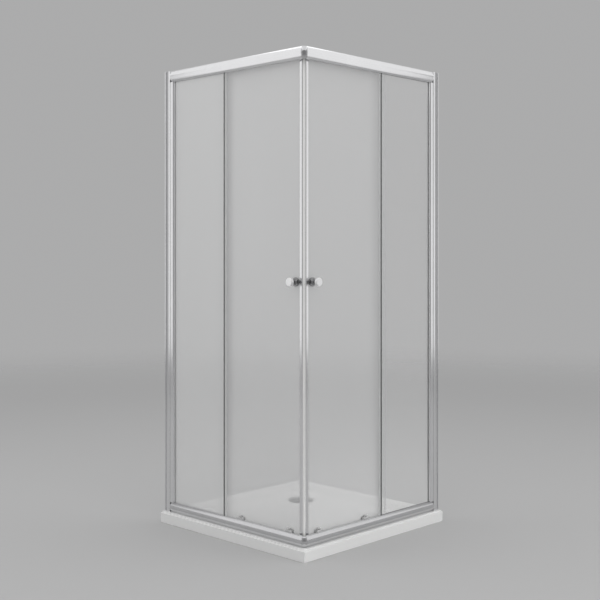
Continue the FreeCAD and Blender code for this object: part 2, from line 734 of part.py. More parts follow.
def fixed_pane():
    """The fixed glass with its gasket, channel fillers and edge seal."""
    glass = doc.addObject("Part::Box", "right_fixed_glass")
    place(glass, "fixed_glass_edge", "fixed_glass_in", "fixed_glass_low")
    glass.setExpression("Length", linked("fixed_glass_end - fixed_glass_edge"))
    glass.setExpression("Width", linked("glass_thickness"))
    glass.setExpression("Height", linked("fixed_glass_high - fixed_glass_low"))
    both_sides(glass, "fixed_glass")
    low, high = "fixed_glass_in - gasket_gap", "fixed_glass_in + glass_thickness + gasket_gap"
    mouth, back = "frame_start_along + gasket_gap", "frame_floor_along - gasket_gap"
    gasket = upright("wall_gasket", [[
        (mouth, f"{low} - gasket_thickness"), (back, f"{low} - gasket_thickness"),
        (back, f"{high} + gasket_thickness"), (mouth, f"{high} + gasket_thickness"),
        (mouth, high), (f"{back} - gasket_thickness", high),
        (f"{back} - gasket_thickness", low), (mouth, low),
    ]], "bottom_rail_top", "top_rail_low")
    strips = [gasket]
    for rail_name, seat, step in (("bottom", "bottom_rail_top", "-glazing_depth + filler_gap"),
                                  ("top", "top_rail_low", "filler_gap")):
        strip = doc.addObject("Part::Box", f"right_{rail_name}_filler")
        place(strip, "corner_axis_in + joint_gap", "channel_low_in + filler_gap", f"{seat} + ({step})")
        strip.setExpression("Length", linked("fixed_glass_edge - corner_axis_in - joint_gap - filler_gap"))
        strip.setExpression("Width", linked("channel_high_in - channel_low_in - 2 * filler_gap"))
        strip.setExpression("Height", linked("glazing_depth - 2 * filler_gap"))
        strips.append(strip)
    both_sides(group("right_glazing_strips", strips), "glazing_strips")
    inner, outer = "fixed_glass_in - seal_gap", "fixed_glass_in + glass_thickness + seal_gap"
    root, tip = "fixed_glass_edge - seal_gap", "fixed_glass_edge + edge_seal_grip"
    seal = upright("edge_seal", [[
        (f"{root} - seal_leg", f"{inner} - seal_leg"), (tip, f"{inner} - seal_leg"), (tip, inner),
        (root, inner), (root, outer), (tip, outer), (tip, f"{outer} + seal_leg"),
        (f"{root} - seal_leg", f"{outer} + seal_leg"),
    ]], "bottom_rail_top + seal_gap", "top_rail_low - seal_gap")
    both_sides(seal, "edge_seal")


def rail_buffers():
    """The rubber stops clipped over the top track's lip at both ends of the travel."""
    def level(height):
        return f"cabin_top - ({height})"

    top = "track_height + track_lip_height - buffer_gap"
    lip_low, lip_high = "track_lip_in - track_lip_thickness - buffer_gap", "track_lip_in + buffer_gap"
    shape = [
        ("rail_inner_in + buffer_gap", level(top)), (lip_low, level(top)),
        (lip_low, level("track_height - buffer_gap")), (lip_high, level("track_height - buffer_gap")),
        (lip_high, level(top)), (f"{lip_high} + buffer_wall", level(top)),
        (f"{lip_high} + buffer_wall", level(f"{top} - buffer_height")),
        ("rail_inner_in + buffer_gap", level(f"{top} - buffer_height")),
    ]
    starts = ("roller_front_along - wheel_radius - buffer_stop_gap - buffer_length",
              "roller_back_along + door_travel + wheel_radius + buffer_stop_gap")
    members = []
    for number, start in enumerate(starts, 1):
        body = new_body(f"right_rail_buffer_{number}")
        pad(body, ALONG, [shape], start, "buffer_length")
        members.append(body)
    both_sides(group("right_rail_buffers", members), "rail_buffers")


def door_pane():
    """The sliding glass with the holes for its rollers, guide blocks and knob."""
    body = new_body("right_door_glass")
    holes = [(("knob_along", "knob_height"), "knob_hole_radius")]
    for along in ("roller_front_along", "roller_back_along"):
        holes.append(((along, "carry_axis_height"), "pin_hole_radius"))
        for side in ("-", "+"):
            holes.append(((f"{along} {side} block_peg_offset", "block_peg_height"),
                          "block_peg_radius + block_peg_gap"))
    outline = rectangle("door_glass_start", "door_glass_low", "door_glass_end", "door_glass_high")
    pad(body, ACROSS, [outline], "-door_glass_in", "glass_thickness", holes, backwards=True)
    both_sides(body, "door_glass")


def door_edges():
    """The stile and magnet strip on the closing edge and the seal on the trailing edge."""
    nose, low, high = "stile_start_along", "stile_low_in", "stile_high_in"
    slot = "door_glass_start - seal_gap"
    front, back = "door_glass_in - seal_gap", "door_glass_far_in + seal_gap"
    stile = upright("door_stile", [[
        (nose, low), ("stile_end_along", low), ("stile_end_along", front), (slot, front),
        (slot, back), ("stile_end_along", back), ("stile_end_along", high),
        (f"{high} + mitre_step", high), (nose, f"{nose} - mitre_step"),
    ], [
        (f"{nose} + stile_web", f"{low} + stile_web"), (f"{slot} - stile_web", f"{low} + stile_web"),
        (f"{slot} - stile_web", f"{high} - stile_web"), (f"{high} + mitre_step", f"{high} - stile_web"),
        (f"{nose} + stile_web", f"{nose} - mitre_step"),
    ]], "door_glass_low", "door_glass_high")
    both_sides(stile, "door_stile")
    magnet = upright("magnet_strip", [[
        (f"{low} + mitre_step", low), (nose, low), (nose, f"{nose} - mitre_step"),
    ]], "door_glass_low", "door_glass_high")
    both_sides(magnet, "magnet_strip")
    grip = "door_glass_end - rear_seal_grip"
    base = "door_glass_end + seal_gap"
    fin, tip = "rear_seal_end", "fixed_glass_in + glass_thickness + fin_clearance"
    seal = upright("rear_seal", [[
        (grip, f"{front} - seal_leg"), (f"{fin} - seal_leg", f"{front} - seal_leg"),
        (f"{fin} - seal_leg", tip), (fin, tip), (fin, front),
        (f"{base} + seal_leg", front), (f"{base} + seal_leg", f"{back} + seal_leg"),
        (grip, f"{back} + seal_leg"), (grip, back), (base, back), (base, front), (grip, front),
    ]], "bottom_rail_top + seal_end_gap", "top_rail_low - seal_end_gap")
    both_sides(seal, "rear_seal")


def wheel(name, along, height):
    """A roller whose groove straddles the track's lip."""
    body = new_body("right_" + name, along, "0", height)
    bore = "axle_radius + axle_fit_gap"
    turn(body, LEVEL, [
        (bore, "wheel_low_in"), ("wheel_radius", "wheel_low_in"),
        ("wheel_radius", "lip_centre_in - groove_half_width"),
        ("groove_radius", "lip_centre_in - groove_half_width * 0.8"),
        ("groove_radius", "lip_centre_in + groove_half_width * 0.8"),
        ("wheel_radius", "lip_centre_in + groove_half_width"),
        ("wheel_radius", "wheel_high_in"), (bore, "wheel_high_in"),
    ])
    both_sides(body, name)


def top_carriages():
    """The hangers, their pins and nuts, and the wheels that carry the door."""
    hangers, pins = [], []
    for end, along in (("front", "roller_front_along"), ("back", "roller_back_along")):
        hanger = new_body(f"right_hanger_{end}", along, "0", "carry_axis_height")
        pad(hanger, ACROSS, [rounded("-hanger_width / 2", "-hanger_drop", "hanger_width / 2",
                                     "hanger_rise", "hanger_corner")],
            "-hanger_low_in", "door_glass_in - hanger_low_in",
            [(("0", "0"), "axle_radius + axle_fit_gap")], backwards=True)
        hangers.append(hanger)
        pin = new_body(f"right_pin_{end}", along, "0", "carry_axis_height")
        shoulder = "axle_end_in + axle_head_height"
        tip = "door_glass_far_in + pin_nut_height * 0.7"
        turn(pin, LEVEL, [
            ("0", "axle_end_in"), ("axle_head_radius", "axle_end_in"), ("axle_head_radius", shoulder),
            ("axle_radius", shoulder), ("axle_radius", tip), ("0", tip),
        ])
        nut = new_body(f"right_nut_{end}", along, "0", "carry_axis_height")
        bore, face = "axle_radius + axle_fit_gap", "door_glass_far_in"
        turn(nut, LEVEL, [
            (bore, face), ("pin_nut_radius", face), ("pin_nut_radius", f"{face} + pin_nut_height * 0.5"),
            ("pin_nut_radius * 0.8", f"{face} + pin_nut_height * 0.86", "arc"),
            ("pin_nut_radius * 0.4", f"{face} + pin_nut_height"), ("0", f"{face} + pin_nut_height"),
            ("0", f"{face} + pin_nut_height * 0.75"), (bore, f"{face} + pin_nut_height * 0.75"),
        ])
        pins += [pin, nut]
        wheel(f"top_wheel_{end}", along, "carry_axis_height")
    both_sides(group("right_roller_carriages", hangers), "roller_carriages")
    both_sides(group("right_carriage_pins", pins), "carriage_pins")


def guide_block(end, along):
    """A block on the glass's outer face with the slot its release slides in, and its clamp plate."""
    body = new_body(f"right_block_{end}", along)
    half, slot = "block_width / 2", "(stem_width / 2 + stem_gap)"
    curl = f"block_round * {ARC_MIDDLE_SHARE}"
    pad(body, LEVEL, [[
        (f"-{half}", "door_glass_in"), (f"-{half}", "block_low_in + block_round"),
        (f"-{half} + {curl}", f"block_low_in + {curl}", "arc"),
        (f"-{half} + block_round", "block_low_in"), (f"{half} - block_round", "block_low_in"),
        (f"{half} - {curl}", f"block_low_in + {curl}", "arc"),
        (half, "block_low_in + block_round"), (half, "door_glass_in"),
        (slot, "door_glass_in"), (slot, "stem_low_in - stem_gap"),
        (f"-{slot}", "stem_low_in - stem_gap"), (f"-{slot}", "door_glass_in"),
    ]], "block_low", "block_height")
    pocket(body, LEVEL, [], "block_high", "spring_bore_depth", [(("0", "spring_in"), "spring_bore_radius")])
    pegs = [((f"{side}block_peg_offset", "block_peg_height"), "block_peg_radius") for side in ("-", "")]
    pad(body, ACROSS, [], "-door_glass_in", "glass_thickness + block_plate_thickness / 2", pegs,
        backwards=True)
    plate = new_body(f"right_block_plate_{end}", along)
    holes = [(centre, "block_peg_radius + block_peg_gap / 2") for centre, radius in pegs]
    pad(plate, ACROSS, [rounded(f"-{half}", "block_low", half, "block_high", "block_round")],
        "-door_glass_far_in", "block_plate_thickness", holes, backwards=True)
    return [body, plate]


def release(end, along):
    """The sprung slide: button, stem and the stub that carries the guide wheel."""
    body = new_body(f"right_release_{end}", along)
    pad(body, LEVEL, [rectangle("-button_width / 2", "block_low_in + button_side_gap",
                                "button_width / 2", "stem_high_in")], "button_low", "button_height")
    foot = "guide_axis_height - stem_width / 2"
    pad(body, LEVEL, [rectangle("-stem_width / 2", "stem_low_in", "stem_width / 2", "stem_high_in")],
        foot, f"button_low - ({foot})")
    shoulder = "axle_end_in + axle_head_height"
    pad(body, ACROSS, [], "-stem_low_in", f"stem_low_in - ({shoulder})",
        [(("0", "guide_axis_height"), "axle_radius")])
    pad(body, ACROSS, [], f"-({shoulder})", "axle_head_height",
        [(("0", "guide_axis_height"), "axle_head_radius")])
    both_sides(body, f"release_{end}")


def bottom_guides():
    """The guide blocks with their releases, springs and wheels."""
    blocks, springs = [], []
    for end, along in (("front", "roller_front_along"), ("back", "roller_back_along")):
        blocks += guide_block(end, along)
        release(end, along)
        spring = new_body(f"right_spring_{end}", along, "spring_in", "spring_low")
        turn(spring, ACROSS, rectangle("spring_radius - spring_wall", "0", "spring_radius",
                                       "button_low - spring_low"))
        springs.append(spring)
        wheel(f"guide_wheel_{end}", along, "guide_axis_height")
    both_sides(group("right_guide_blocks", blocks), "guide_blocks")
    both_sides(group("right_guide_springs", springs), "guide_springs")


def knobs():
    """The outer knob with its spigot, the low inner knob and the two washers."""
    seat = "door_glass_in - knob_washer_thickness"
    outer = new_body("right_outer_knob", "knob_along", seat, "knob_height")
    neck_end = "(knob_projection - knob_cap_thickness)"
    spigot = "(glass_thickness + 2 * knob_washer_thickness + knob_spigot_reach)"
    curl = f"knob_edge_round * {ARC_MIDDLE_SHARE}"
    turn(outer, LEVEL, [
        ("0", spigot), ("knob_spigot_radius", spigot), ("knob_spigot_radius", "0"),
        ("knob_base_radius", "0"), ("knob_base_radius", "-knob_base_thickness + knob_edge_round"),
        (f"knob_base_radius - {curl}", f"-knob_base_thickness + {curl}", "arc"),
        ("knob_base_radius - knob_edge_round", "-knob_base_thickness"),
        ("knob_neck_radius * 1.4", "-knob_base_thickness"),
        ("knob_neck_radius", f"-(knob_base_thickness + {neck_end}) / 2", "arc"),
        ("knob_neck_radius * 1.4", f"-{neck_end}"),
        ("knob_cap_radius - knob_edge_round", f"-{neck_end}"),
        (f"knob_cap_radius - {curl}", f"-{neck_end} - {curl}", "arc"),
        ("knob_cap_radius", f"-{neck_end} - knob_edge_round"),
        ("knob_cap_radius", "-knob_projection + knob_edge_round"),
        (f"knob_cap_radius - {curl}", f"-knob_projection + {curl}", "arc"),
        ("knob_cap_radius - knob_edge_round", "-knob_projection"), ("0", "-knob_projection"),
    ])
    both_sides(outer, "outer_knob")
    back = "door_glass_far_in + knob_washer_thickness"
    inner = new_body("right_inner_knob", "knob_along", back, "knob_height")
    bore = "knob_spigot_radius + axle_fit_gap"
    depth = "(knob_spigot_reach + axle_fit_gap)"
    turn(inner, LEVEL, [
        (bore, "0"), ("knob_cap_radius * 0.8", "0"),
        ("knob_cap_radius * 0.66", "inner_knob_projection * 0.3", "arc"),
        ("knob_cap_radius", "inner_knob_projection * 0.62"),
        ("knob_cap_radius", "inner_knob_projection - knob_edge_round"),
        (f"knob_cap_radius - {curl}", f"inner_knob_projection - {curl}", "arc"),
        ("knob_cap_radius - knob_edge_round", "inner_knob_projection"),
        ("0", "inner_knob_projection"), ("0", depth), (bore, depth),
    ])
    both_sides(inner, "inner_knob")
    washers = []
    for number, start in enumerate((seat, "door_glass_far_in"), 1):
        washer = new_body(f"right_washer_{number}", "knob_along", start, "knob_height")
        turn(washer, LEVEL, rectangle("knob_spigot_radius + axle_fit_gap", "0",
                                      "knob_washer_radius", "knob_washer_thickness"))
        washers.append(washer)
    both_sides(group("right_knob_washers", washers), "knob_washers")


def check_and_export():
    """Stop on any failed object, then write one file for each sub-part."""
    doc.recompute()
    for thing in doc.Objects:
        if "Invalid" in thing.State or "Error" in thing.State:
            raise RuntimeError(f"{thing.Name} failed: {thing.State}")
    for cut in POCKETS:
        if cut.Shape.Volume >= cut.BaseFeature.Shape.Volume:
            raise RuntimeError(f"{cut.Name} removes nothing")
    os.makedirs("parts", exist_ok=True)
    for thing in NODES:
        if thing.Shape.isNull() or not thing.Shape.isValid():
            raise RuntimeError(f"{thing.Label} has no sound shape")
        thing.Shape.exportStep(f"parts/{thing.Label}.step")
    print(f"{len(NODES)} sub-parts written")


fill_sheet()
tray()
drain()
for rail_level, rail_seat, rail_sign in (("bottom", "platform_height", "+"), ("top", "cabin_top", "-")):
    rail(rail_level + "_rail", rail_seat, rail_sign)
    corner(rail_level, rail_seat, rail_sign)
corner_screws()
wall_and_frame_profiles()
fixed_pane()
rail_buffers()
door_pane()
door_edges()
top_carriages()
bottom_guides()
knobs()
check_and_export()
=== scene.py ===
import math

import bmesh
import bpy
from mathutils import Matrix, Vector
from mathutils.geometry import delaunay_2d_cdt


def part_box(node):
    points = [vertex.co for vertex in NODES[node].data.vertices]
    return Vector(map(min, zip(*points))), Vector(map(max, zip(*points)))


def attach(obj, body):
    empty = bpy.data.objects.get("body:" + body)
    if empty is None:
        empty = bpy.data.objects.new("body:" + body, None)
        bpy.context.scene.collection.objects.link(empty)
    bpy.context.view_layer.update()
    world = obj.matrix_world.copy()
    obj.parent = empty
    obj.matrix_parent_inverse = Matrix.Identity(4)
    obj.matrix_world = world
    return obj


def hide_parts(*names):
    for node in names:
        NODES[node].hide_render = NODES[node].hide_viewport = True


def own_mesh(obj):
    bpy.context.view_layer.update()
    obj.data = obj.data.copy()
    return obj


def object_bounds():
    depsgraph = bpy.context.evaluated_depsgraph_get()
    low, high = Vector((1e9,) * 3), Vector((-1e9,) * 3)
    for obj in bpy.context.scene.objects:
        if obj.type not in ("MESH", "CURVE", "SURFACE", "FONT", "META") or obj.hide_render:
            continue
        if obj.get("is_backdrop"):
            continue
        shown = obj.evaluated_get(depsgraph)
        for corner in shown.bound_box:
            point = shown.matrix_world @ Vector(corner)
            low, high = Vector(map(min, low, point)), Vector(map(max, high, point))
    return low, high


# A square corner-entry shower cabin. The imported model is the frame: Z is up, the entry corner is
# at -X, -Y, the right side runs along X and the left side is its mirror image along Y. Lengths are
# in metres, apart from the uprights' sections, which are in millimetres.

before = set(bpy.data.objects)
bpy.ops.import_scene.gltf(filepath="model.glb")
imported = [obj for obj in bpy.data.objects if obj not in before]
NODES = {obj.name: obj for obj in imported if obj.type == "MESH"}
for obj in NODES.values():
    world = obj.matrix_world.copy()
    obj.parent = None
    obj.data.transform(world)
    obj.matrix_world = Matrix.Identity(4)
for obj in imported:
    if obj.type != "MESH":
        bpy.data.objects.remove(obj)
cad_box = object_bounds()
TRAY_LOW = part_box("shower_tray")[0].x
SIDES = ("left", "right")
ENDS = ("front", "back")
AXES = "xyz"
# The axis that a side runs along, and the one that its glass faces
ALONG = {"left": "y", "right": "x"}
ACROSS = {"left": "x", "right": "y"}
MM_PER_METRE = 1000

# Camera, as the photograph was taken
CAMERA_AT = Vector((-3.3611, -3.2583, 1.2057))
CAMERA_FORWARD = Vector((0.71666, 0.69735, 0.0))
LENS_MM = 62.15
SHIFT_UP = -0.0758

# Stage
FLOOR_SIZE = 20.0
FLOOR_DROP = 0.0005
FLOOR_FADE = (3.5, 9.5)
FLOOR_COLOUR = (0.48, 0.48, 0.48)
FLOOR_SPECKLE = 0.99
FLOOR_GRAIN = 40.0
FLOOR_ROUGHNESS = 0.6
SKY_LIGHT = (0.62, 0.62, 0.623)
SKY_FAR = (0.41, 0.41, 0.412)
SKY_NEAR = (0.27, 0.27, 0.271)
# The sky is darker towards the entry corner, as in the studio of the photograph
SKY_NEAR_WAY = (-0.707, -0.707, 0.0)
SKY_NEAR_BAND = (0.55, 0.97)
# Lamps: place, aim, width, height, watts, spread in degrees and whether reflections show them.
# The low ones are narrow, so that the rails fade near the walls. The strip lifts the tray's face.
LAMPS = {
    "key_low": ((2.666, -3.764, 1.716), (-0.270, -1.348, 0.484), 2.5, 2.91, 10.9, 180, True),
    "key_high": ((2.454, -2.715, 4.284), (-0.482, -0.299, 3.052), 3.9, 2.49, 14.5, 180, True),
    "fill_low": ((-3.734, 2.509, 1.718), (-0.978, -0.103, 0.462), 2.5, 2.91, 11.2, 180, True),
    "fill_high": ((-2.762, 2.304, 4.281), (-0.006, -0.308, 3.025), 4.0, 2.49, 15.3, 180, True),
    "top": ((-0.8, -0.8, 4.8), (0.0, 0.0, 0.0), 7.0, 7.0, 98.0, 180, True),
    "strip": ((-0.2, -2.8, 0.10), (-0.05, -0.45, 0.0), 3.2, 0.3, 1.15, 24, False),
}

# Looks: a pair of numbers or colours is a range that a noise texture runs through. A range of
# roughness stays on one side of 0.27, where a low-sample render's denoiser would draw an outline.
NOISE_BAND = (0.3, 0.7)
NOISE_ROUGHNESS = 0.55
FACING_LIMIT = 0.5
FINE_DEPTH = 0.00002
STANDING_TONES = ((0.78, 0.78, 0.79), (0.85, 0.85, 0.86))
HIGH_RAIL_TONES = ((0.80, 0.80, 0.81), (0.88, 0.88, 0.89))
# The low rail is painted darker than the same aluminium in the high rail: a painted dark reflection
PAINTED_DARK_LOW_RAIL_TONES = ((0.62, 0.62, 0.63), (0.70, 0.70, 0.71))
EXTRUSION_ROUGHNESS = (0.10, 0.20)
EXTRUSION_CLOUD = 6.0
DIE_LINES_ACROSS = 900.0
DIE_LINES_ALONG = 1.5
WIPING_MARKS = (60.0, 60.0, 25.0)
CHROME_TONES = ((0.58, 0.58, 0.59), (0.64, 0.64, 0.65))
CHROME_ROUGHNESS = (0.04, 0.11)
CAP_TONES = ((0.90, 0.90, 0.905), (0.94, 0.94, 0.945))
CAP_ROUGHNESS = (0.29, 0.34)
CAP_METALLIC = (0.80, 0.86)
# The stems' and bases' dark colour is a painted dark reflection on the chrome
PAINTED_DARK_STEM_TONES = ((0.24, 0.24, 0.245), (0.31, 0.31, 0.315))
STEM_ROUGHNESS = (0.04, 0.10)
# The knobs' stems: how far the door's glass lies inward, and how far they reach from it
DOOR_GLASS_IN = 0.0565
STEM_REACH = 0.0318
TURNING_GRAIN = 1500.0
TURNING_SHADE = 0.86
TRAY_TONES = ((0.775, 0.775, 0.77), (0.81, 0.81, 0.805))
TRAY_ROUGHNESS = (0.29, 0.36)
TRAY_CLOUD = 3.5
TRAY_PEEL = 45.0
TRAY_COAT = 0.25
TRAY_COAT_ROUGHNESS = 0.08
FIBRE_TONES = ((0.48, 0.46, 0.40), (0.70, 0.68, 0.60))
FIBRE_STRANDS = (90.0, 12.0, 90.0)
FIBRE_ROUGHNESS = 0.75
GLASS_TONES = ((0.76, 0.762, 0.762), (0.82, 0.822, 0.822))
GLASS_HAZE = (1.2, 1.2, 0.5)
GLASS_RIPPLE = (2.0, 2.0, 0.8)
GLASS_ROUGHNESS = 0.3
GLASS_IOR = 2.1
DOOR_COVER = (0.33, 0.36)
# The left fixed pane's denser pale haze makes it read lighter and the right one's clearer haze
# darker: painted light and painted shade
FIXED_COVER_LIT_AND_SHADED = {"left": (0.40, 0.44), "right": (0.13, 0.16)}
# Edges of the panes: colour and cover. The doors' dark edges are painted shade, the sealed edges
# are pale.
PAINTED_SHADE_EDGE = ((0.06, 0.085, 0.075), 0.6)
SEALED_EDGE = ((0.80, 0.82, 0.81), 0.25)
# Soft strips: colour of the faces, colour of the edges, cover of the faces, cover of the edges
FIN_SEAL_LOOK = ((0.90, 0.91, 0.91), (0.95, 0.96, 0.96), 0.08, 0.30)
EDGE_SEAL_LOOK = ((0.92, 0.93, 0.93), (0.95, 0.96, 0.96), 0.10, 0.45)
GASKET_LOOK = ((0.62, 0.63, 0.63), (0.62, 0.63, 0.63), 0.90, 0.80)
STRIP_FLOW = (40.0, 40.0, 4.0)
STRIP_SHADE = 0.9
STRIP_THINNING = 0.8
STRIP_ROUGHNESS = (0.29, 0.38)
# A painted shade stripe in the fixed pane's seal, standing for the shaded gap at the pane's edge:
# its middle along and inward, its halves, colour and cover
SHADE_STRIPE_ALONG = 0.506
SHADE_STRIPE_INWARD = 0.0312
SHADE_STRIPE_HALF_WIDTH = 0.003
SHADE_STRIPE_HALF_DEPTH = 0.0012
SHADE_STRIPE_COLOUR = (0.03, 0.03, 0.03, 1.0)
SHADE_STRIPE_COVER = 0.45
MOULDED_GRAIN = 700.0
MOULDED_CLOUD = 30.0

# Built pieces
SHARP_ANGLE = math.radians(35)
CIRCLE_SIDES = 32
COIL_STEPS = 24
SPRING_WIRE = 0.0003
SPRING_SECTION = 10
SPRING_TURNS = 6.5
THREAD_RADIUS = 0.042
THREAD_DEPTH = 0.0003
THREAD_SECTION = 3
THREAD_TURNS = 2.5
SCREW_HEAD = 0.0038
SCREW_LENGTH = 0.008
# Radius and height of each ring of a screw, from its tip to the flat of its head. The merge
# distances are for the points of its recess and of the uprights' sections.
SCREW_PROFILE = [
    (0.0019, -0.008), (0.0019, 0.0), (0.0038, 0.0), (0.00373, 0.0006), (0.00352, 0.0011),
    (0.00323, 0.00154), (0.00284, 0.0019), (0.00236, 0.00213), (0.0019, 0.0022),
]
RECESS_SLOT = 0.0008
RECESS_ARM = 0.0017
RECESS_DEPTH = 0.0012
RECESS_TAPER = 0.7
RECESS_MERGE = 1e-7
SECTION_MERGE = 1e-5
WHOLE_HULL = 0
ROUND_STEPS = 8
BOW_STEPS = 14
# The wall profile's fixing holes: radius, distance inward and heights. They go through the walls
# of its section that lie beyond a distance along the side.
HOLE_RADIUS = 0.003
HOLE_INWARD = 0.03325
HOLE_HEIGHTS = (0.139, 0.739, 1.339, 1.939)
WEB_FROM_MM = 898.0


def supply(tree, source, socket):
    """Link an output to an input, or set the input to a plain value."""
    if isinstance(source, bpy.types.NodeSocket):
        tree.links.new(source, socket)
    else:
        socket.default_value = source


def feed(tree, node, **sources):
    """Supply a node's inputs by name, with spaces as underscores."""
    for name, source in sources.items():
        supply(tree, source, node.inputs[name.replace("_", " ")])
    return node


def add(tree, kind, **sources):
    """Add a node and feed it."""
    return feed(tree, tree.nodes.new(kind), **sources)


def maths(tree, operation, *terms):
    """A number worked out from outputs and plain numbers."""
    node = tree.nodes.new("ShaderNodeMath")
    node.operation = operation
    for term, socket in zip(terms, node.inputs):
        supply(tree, term, socket)
    return node.outputs["Value"]


def blend(tree, kind, factor, first, second):
    """A number or a colour between two, by a factor."""
    node = tree.nodes.new("ShaderNodeMix")
    node.data_type = kind
    return feed(tree, node, Factor=factor, A=first, B=second).outputs["Result"]


def tint(tree, factor, first, second):
    """A colour between two, by a factor."""
    return blend(tree, "RGBA", factor, (*first, 1.0), (*second, 1.0))


def spread(tree, factor, low, high):
    """A noise factor mapped onto a range of numbers."""
    node = add(tree, "ShaderNodeMapRange", Value=factor, From_Min=NOISE_BAND[0],
               From_Max=NOISE_BAND[1], To_Min=low, To_Max=high)
    return node.outputs["Result"]


def smooth_step(tree, number, low, high):
    """0 below a range of numbers and 1 above it, with a soft step between."""
    node = add(tree, "ShaderNodeMapRange", Value=number, From_Min=low, From_Max=high)
    node.interpolation_type = "SMOOTHSTEP"
    return node.outputs["Result"]


def coordinates(tree, kind):
    """A kind of texture coordinates."""
    return tree.nodes.new("ShaderNodeTexCoord").outputs[kind]


def one_axis(tree, kind, axis):
    """One axis of a kind of texture coordinates."""
    split = add(tree, "ShaderNodeSeparateXYZ", Vector=coordinates(tree, kind))
    return split.outputs[axis.upper()]


def within(tree, axis, centre, reach):
    """1 where the place along an axis is within reach of a centre, and 0 elsewhere."""
    return maths(tree, "COMPARE", one_axis(tree, "Object", axis), centre, reach)


def noise(tree, scale=1.0, detail=3.0, roughness=NOISE_ROUGHNESS, stretch=(1.0, 1.0, 1.0)):
    """A noise texture's factor, stretched by a scale along each axis of the object."""
    mapped = add(tree, "ShaderNodeMapping", Vector=coordinates(tree, "Object"), Scale=stretch)
    grain = add(tree, "ShaderNodeTexNoise", Vector=mapped.outputs["Vector"], Scale=scale,
                Detail=detail, Roughness=roughness)
    return grain.outputs["Fac"]


def bump(tree, shader, height, depth, strength):
    """Raise the surface by a height texture, with its depth in metres."""
    node = add(tree, "ShaderNodeBump", Height=height, Distance=depth, Strength=strength)
    feed(tree, shader, Normal=node.outputs["Normal"])


def new_material(name):
    """A new material with its node tree and its shader."""
    material = bpy.data.materials.new(name)
    material.use_nodes = True
    return material, material.node_tree, material.node_tree.nodes["Principled BSDF"]


def extrusion_metal(name, axis, tones):
    """Bright polished aluminium with faint die lines along its length."""
    material, tree, shader = new_material(name)
    stretch = [DIE_LINES_ALONG if letter == axis else DIE_LINES_ACROSS for letter in AXES]
    lines = noise(tree, detail=2.0, stretch=stretch)
    cloud = noise(tree, EXTRUSION_CLOUD)
    feed(tree, shader, Metallic=1.0, Base_Color=tint(tree, cloud, *tones),
         Roughness=spread(tree, lines, *EXTRUSION_ROUGHNESS))
    bump(tree, shader, lines, depth=FINE_DEPTH, strength=0.5)
    return material


def fitting_chrome():
    """Plated chrome with faint wiping marks."""
    material, tree, shader = new_material("fitting_chrome")
    smear = noise(tree, detail=5.0, stretch=WIPING_MARKS)
    feed(tree, shader, Metallic=1.0, Base_Color=tint(tree, smear, *CHROME_TONES),
         Roughness=spread(tree, smear, *CHROME_ROUGHNESS))
    return material


def knob_chrome(name, across):
    """A satin cap on a mirror-bright stem and base, whose darker colour is a painted dark
    reflection.
    """
    material, tree, shader = new_material(name)
    stem = within(tree, across, TRAY_LOW + DOOR_GLASS_IN, STEM_REACH)
    smear = noise(tree, detail=5.0, stretch=WIPING_MARKS)
    feed(tree, shader,
         Base_Color=blend(tree, "RGBA", stem, tint(tree, smear, *CAP_TONES),
                          tint(tree, smear, *PAINTED_DARK_STEM_TONES)),
         Roughness=blend(tree, "FLOAT", stem, spread(tree, smear, *CAP_ROUGHNESS),
                         spread(tree, smear, *STEM_ROUGHNESS)),
         Metallic=blend(tree, "FLOAT", stem, spread(tree, smear, *CAP_METALLIC), 1.0))
    return material


def turned_metal(name, colour, roughness):
    """Stainless metal with fine turning marks."""
    material, tree, shader = new_material(name)
    grain = noise(tree, detail=2.0, stretch=[TURNING_GRAIN] * len(AXES))
    darker = tuple(part * TURNING_SHADE for part in colour)
    feed(tree, shader, Metallic=1.0, Base_Color=tint(tree, grain, darker, colour),
         Roughness=spread(tree, grain, *roughness))
    bump(tree, shader, grain, depth=FINE_DEPTH, strength=0.4)
    return material


def tray_acrylic():
    """White acrylic: a satin skin above, a rough glass-fibre back below."""
    material, tree, shader = new_material("tray_acrylic")
    cloud = noise(tree, TRAY_CLOUD, detail=4.0)
    strands = noise(tree, detail=4.0, roughness=0.7, stretch=FIBRE_STRANDS)
    below = maths(tree, "LESS_THAN", one_axis(tree, "Normal", "z"), -FACING_LIMIT)
    feed(tree, shader, Coat_Weight=TRAY_COAT, Coat_Roughness=TRAY_COAT_ROUGHNESS,
         Base_Color=blend(tree, "RGBA", below, tint(tree, cloud, *TRAY_TONES),
                          tint(tree, strands, *FIBRE_TONES)),
         Roughness=blend(tree, "FLOAT", below, spread(tree, cloud, *TRAY_ROUGHNESS),
                         FIBRE_ROUGHNESS))
    bump(tree, shader, noise(tree, TRAY_PEEL, detail=2.0), depth=0.00006, strength=0.3)
    return material


def edges_and_faces(tree, shader, across, edge_colour, edge_cover, sheet, clear):
    """Colour and cover that differ between a sheet's faces and its edges."""
    size = maths(tree, "ABSOLUTE", one_axis(tree, "Normal", across))
    face = maths(tree, "GREATER_THAN", size, FACING_LIMIT)
    feed(tree, shader, Base_Color=blend(tree, "RGBA", face, (*edge_colour, 1.0), sheet),
         Alpha=blend(tree, "FLOAT", face, edge_cover, clear))


def pane(name, across, cover, edge):
    """Clear toughened glass with a light haze, and ground edges with a colour given apart from the
    faces, which on the doors is painted shade.
    """
    material, tree, shader = new_material(name)
    haze = noise(tree, detail=2.0, stretch=GLASS_HAZE)
    edges_and_faces(tree, shader, across, *edge, tint(tree, haze, *GLASS_TONES),
                    spread(tree, haze, *cover))
    feed(tree, shader, Roughness=GLASS_ROUGHNESS, IOR=GLASS_IOR)
    bump(tree, shader, noise(tree, detail=0.0, stretch=GLASS_RIPPLE), depth=0.0002, strength=0.1)
    return material


